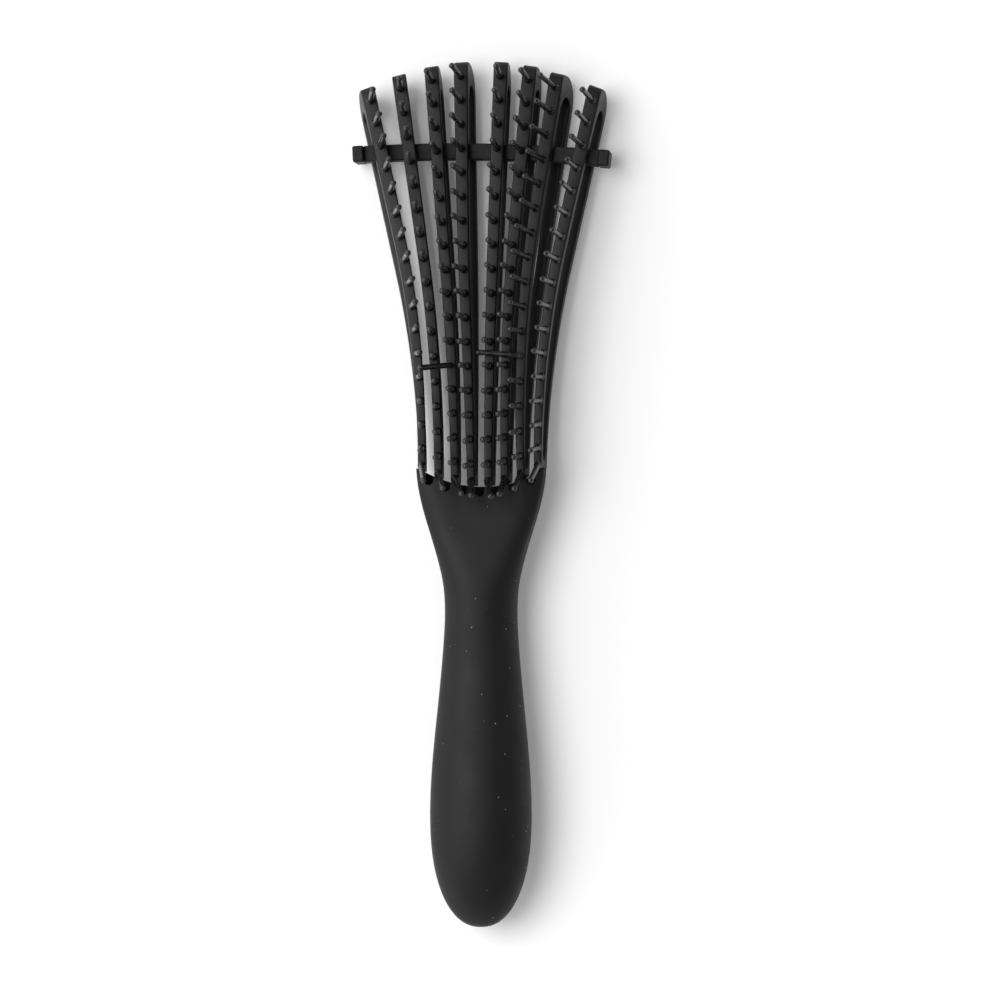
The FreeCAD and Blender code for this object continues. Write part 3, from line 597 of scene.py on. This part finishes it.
def pinFeet(number, layout):
    # one vertex at the foot of each pin on the straight arm
    count = pins["counts"][number - 1]
    spacing = (layout["length"] - arms["rootSink"] - pins["first"] - pins["nextToLast"]) / (count - 2)
    points, slopes, extras = [], [], []
    for index in range(count):
        if (number, index + 1) in pins["bent"]:
            continue
        last = index == count - 1
        along = layout["length"] - pins["first"] - index * spacing
        if last:
            along = arms["rootSink"] + pins["last"]
        points.append((0, along * mm, frontZ(along) * mm))
        slopes.append((bowAlong - along) / bowRadius)
        aside = math.tan(math.radians(pins["lastAside"][number - 1]))
        extras += [aside, -math.tan(math.radians(pins["lastLean"])), 0] if last else [0, 0, 0]
    mesh = bpy.data.meshes.new("pin_row_%d" % number)
    mesh.from_pydata(points, [], [])
    mesh.attributes.new("slope", "FLOAT", "POINT").data.foreach_set("value", slopes)
    mesh.attributes.new("extra", "FLOAT_VECTOR", "POINT").data.foreach_set("vector", extras)
    piece = bpy.data.objects.new(mesh.name, mesh)
    scene.collection.objects.link(piece)
    return piece


loopTree, rowTree = armTree(), pinTree()
for number in range(1, armCount + 1):
    layout = armLayout(number)
    arm = armBlank(number, layout)
    values = bendValues(layout, armFinish)
    values.update({"Root Width": arms["rootWidth"] * mm, "Tip Width": arms["tipWidth"] * mm})
    bakeTree(arm, loopTree, values)
    arm.data.shade_smooth()
    arm.modifiers.new("flat faces", "WEIGHTED_NORMAL")
    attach(arm, "arm_%d" % number)
    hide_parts("arm_%d" % number)
    row = pinFeet(number, layout)
    values = bendValues(layout, pinFinish)
    values.update({
        "Pin Length": pins["length"] * mm, "Base Radius": pins["baseRadius"] * mm,
        "Neck Radius": pins["neckRadius"] * mm, "Ball Radius": pins["ballRadius"] * mm,
        "Fillet Radius": pins["filletRadius"] * mm,
        "Fillet Height": pins["filletHeight"] * mm, "Embed": pins["embed"] * mm,
        "Unevenness": pins["unevenness"], "Seed": pins["seed"] + number})
    bakeTree(row, rowTree, values)
    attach(row, "arm_%d" % number)
    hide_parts("pins_%d" % number)
print("arms and pins made")


# Studio: white floor, a softbox from the upper left, pale surroundings
studio = {
    "floorColour": "#f6f6f6", "fibreColour": "#f9f9f9", "fibreSize": 0.8,
    "floorSize": 6.0, "floorDrop": 0.1, "floorLift": 0.09,
    "tentColour": "#ffffff", "tentTop": 0.12, "tentLeft": 2.8, "tentRight": 0.8,
    "tentFall": 1.5, "tentWidth": 0.8,
    "keyPlace": (-1.05, 0.3, 2.25), "keySize": 1.9, "keyPower": 47.0,
}


def paperFloor():
    material, tree, shader, place = newMaterial("matt white paper")
    fibre = addNode(tree, "ShaderNodeTexNoise", {}, {
        "Vector": place, "Scale": perMm(studio["fibreSize"]), "Detail": 2.0})
    tint = addNode(tree, "ShaderNodeMix", {"data_type": "RGBA"}, {
        "Factor": fibre.outputs["Fac"],
        6: linearColour(studio["floorColour"]), 7: linearColour(studio["fibreColour"])})
    tree.links.new(tint.outputs[2], shader.inputs["Base Color"])
    shader.inputs["Roughness"].default_value = 0.9
    shader.inputs["Specular IOR Level"].default_value = 0.2
    # the lens sees the paper glow a little, so its shadow stays but is lighter
    seen = addNode(tree, "ShaderNodeMath", {"operation": "MULTIPLY"}, {
        0: addNode(tree, "ShaderNodeLightPath").outputs["Is Camera Ray"], 1: studio["floorLift"]})
    tree.links.new(seen.outputs[0], shader.inputs["Emission Strength"])
    shader.inputs["Emission Color"].default_value = linearColour("#ffffff")
    return material


half = studio["floorSize"] / 2
floorMesh = bpy.data.meshes.new("floor")
corners = [(-half, -half, 0), (half, -half, 0), (half, half, 0), (-half, half, 0)]
floorMesh.from_pydata(corners, [], [(0, 1, 2, 3)])
floor = bpy.data.objects.new("floor", floorMesh)
floor.location.z = -studio["floorDrop"] * mm
floor.data.materials.append(paperFloor())
scene.collection.objects.link(floor)

world = bpy.data.worlds.new("light tent")
world.use_nodes = True
tent = world.node_tree
# bright sides, the left one more, and a dark top round the lens; seen directly it is plain white
lookWay = addNode(tent, "ShaderNodeTexCoord").outputs["Generated"]
skyward = addNode(tent, "ShaderNodeSeparateXYZ", {}, {"Vector": lookWay})
lowness = addNode(tent, "ShaderNodeMapRange", {"clamp": True}, {
    "Value": skyward.outputs["Z"], "From Min": 1.0, "From Max": 0.0, "To Min": 0.0, "To Max": 1.0})
fall = addNode(tent, "ShaderNodeMath", {"operation": "POWER"}, {
    0: lowness.outputs["Result"], 1: studio["tentFall"]})
sides = addNode(tent, "ShaderNodeMapRange", {}, {
    "Value": skyward.outputs["X"], "From Min": -studio["tentWidth"], "From Max": studio["tentWidth"],
    "To Min": studio["tentLeft"], "To Max": studio["tentRight"]})
glow = addNode(tent, "ShaderNodeMapRange", {}, {
    "Value": fall.outputs[0], "From Min": 0.0, "From Max": 1.0,
    "To Min": studio["tentTop"], "To Max": sides.outputs["Result"]})
seen = addNode(tent, "ShaderNodeMix", {"data_type": "FLOAT"}, {
    0: addNode(tent, "ShaderNodeLightPath").outputs["Is Camera Ray"], 2: glow.outputs["Result"], 3: 1.0})
tent.nodes["Background"].inputs["Color"].default_value = linearColour(studio["tentColour"])
tent.links.new(seen.outputs[0], tent.nodes["Background"].inputs["Strength"])
scene.world = world


def addSoftbox(name, place, size, power):
    lamp = bpy.data.lights.new(name, "AREA")
    lamp.shape = "DISK"
    lamp.size = size
    lamp.energy = power
    box = bpy.data.objects.new(name, lamp)
    box.location = place
    box.rotation_euler = (-Vector(place)).to_track_quat("-Z", "Y").to_euler()
    scene.collection.objects.link(box)


addSoftbox("key softbox", studio["keyPlace"], studio["keySize"], studio["keyPower"])

# Camera: straight above, a little to the right of the brush, with the tips at the top of the picture
camera = {
    "target": (5.2, -1.6, 11.5), "roll": 4.5, "distance": 1400.0, "frameWidth": 271.4, "sensorWidth": 36.0,
}
lens = bpy.data.cameras.new("camera")
lens.sensor_width = camera["sensorWidth"]
lens.lens = lens.sensor_width * camera["distance"] / camera["frameWidth"]
lens.clip_end = 20.0
eyePoint = bpy.data.objects.new("camera", lens)
away = Vector((math.sin(math.radians(camera["roll"])), 0, math.cos(math.radians(camera["roll"]))))
right = Vector((0, 1, 0)).cross(away)
turn = Matrix((right, Vector((0, 1, 0)), away)).transposed()
stand = (Vector(camera["target"]) + away * camera["distance"]) * mm
eyePoint.matrix_world = Matrix.Translation(stand) @ turn.to_4x4()
scene.collection.objects.link(eyePoint)
scene.camera = eyePoint
scene.view_settings.view_transform = "Standard"
print("studio and camera set")
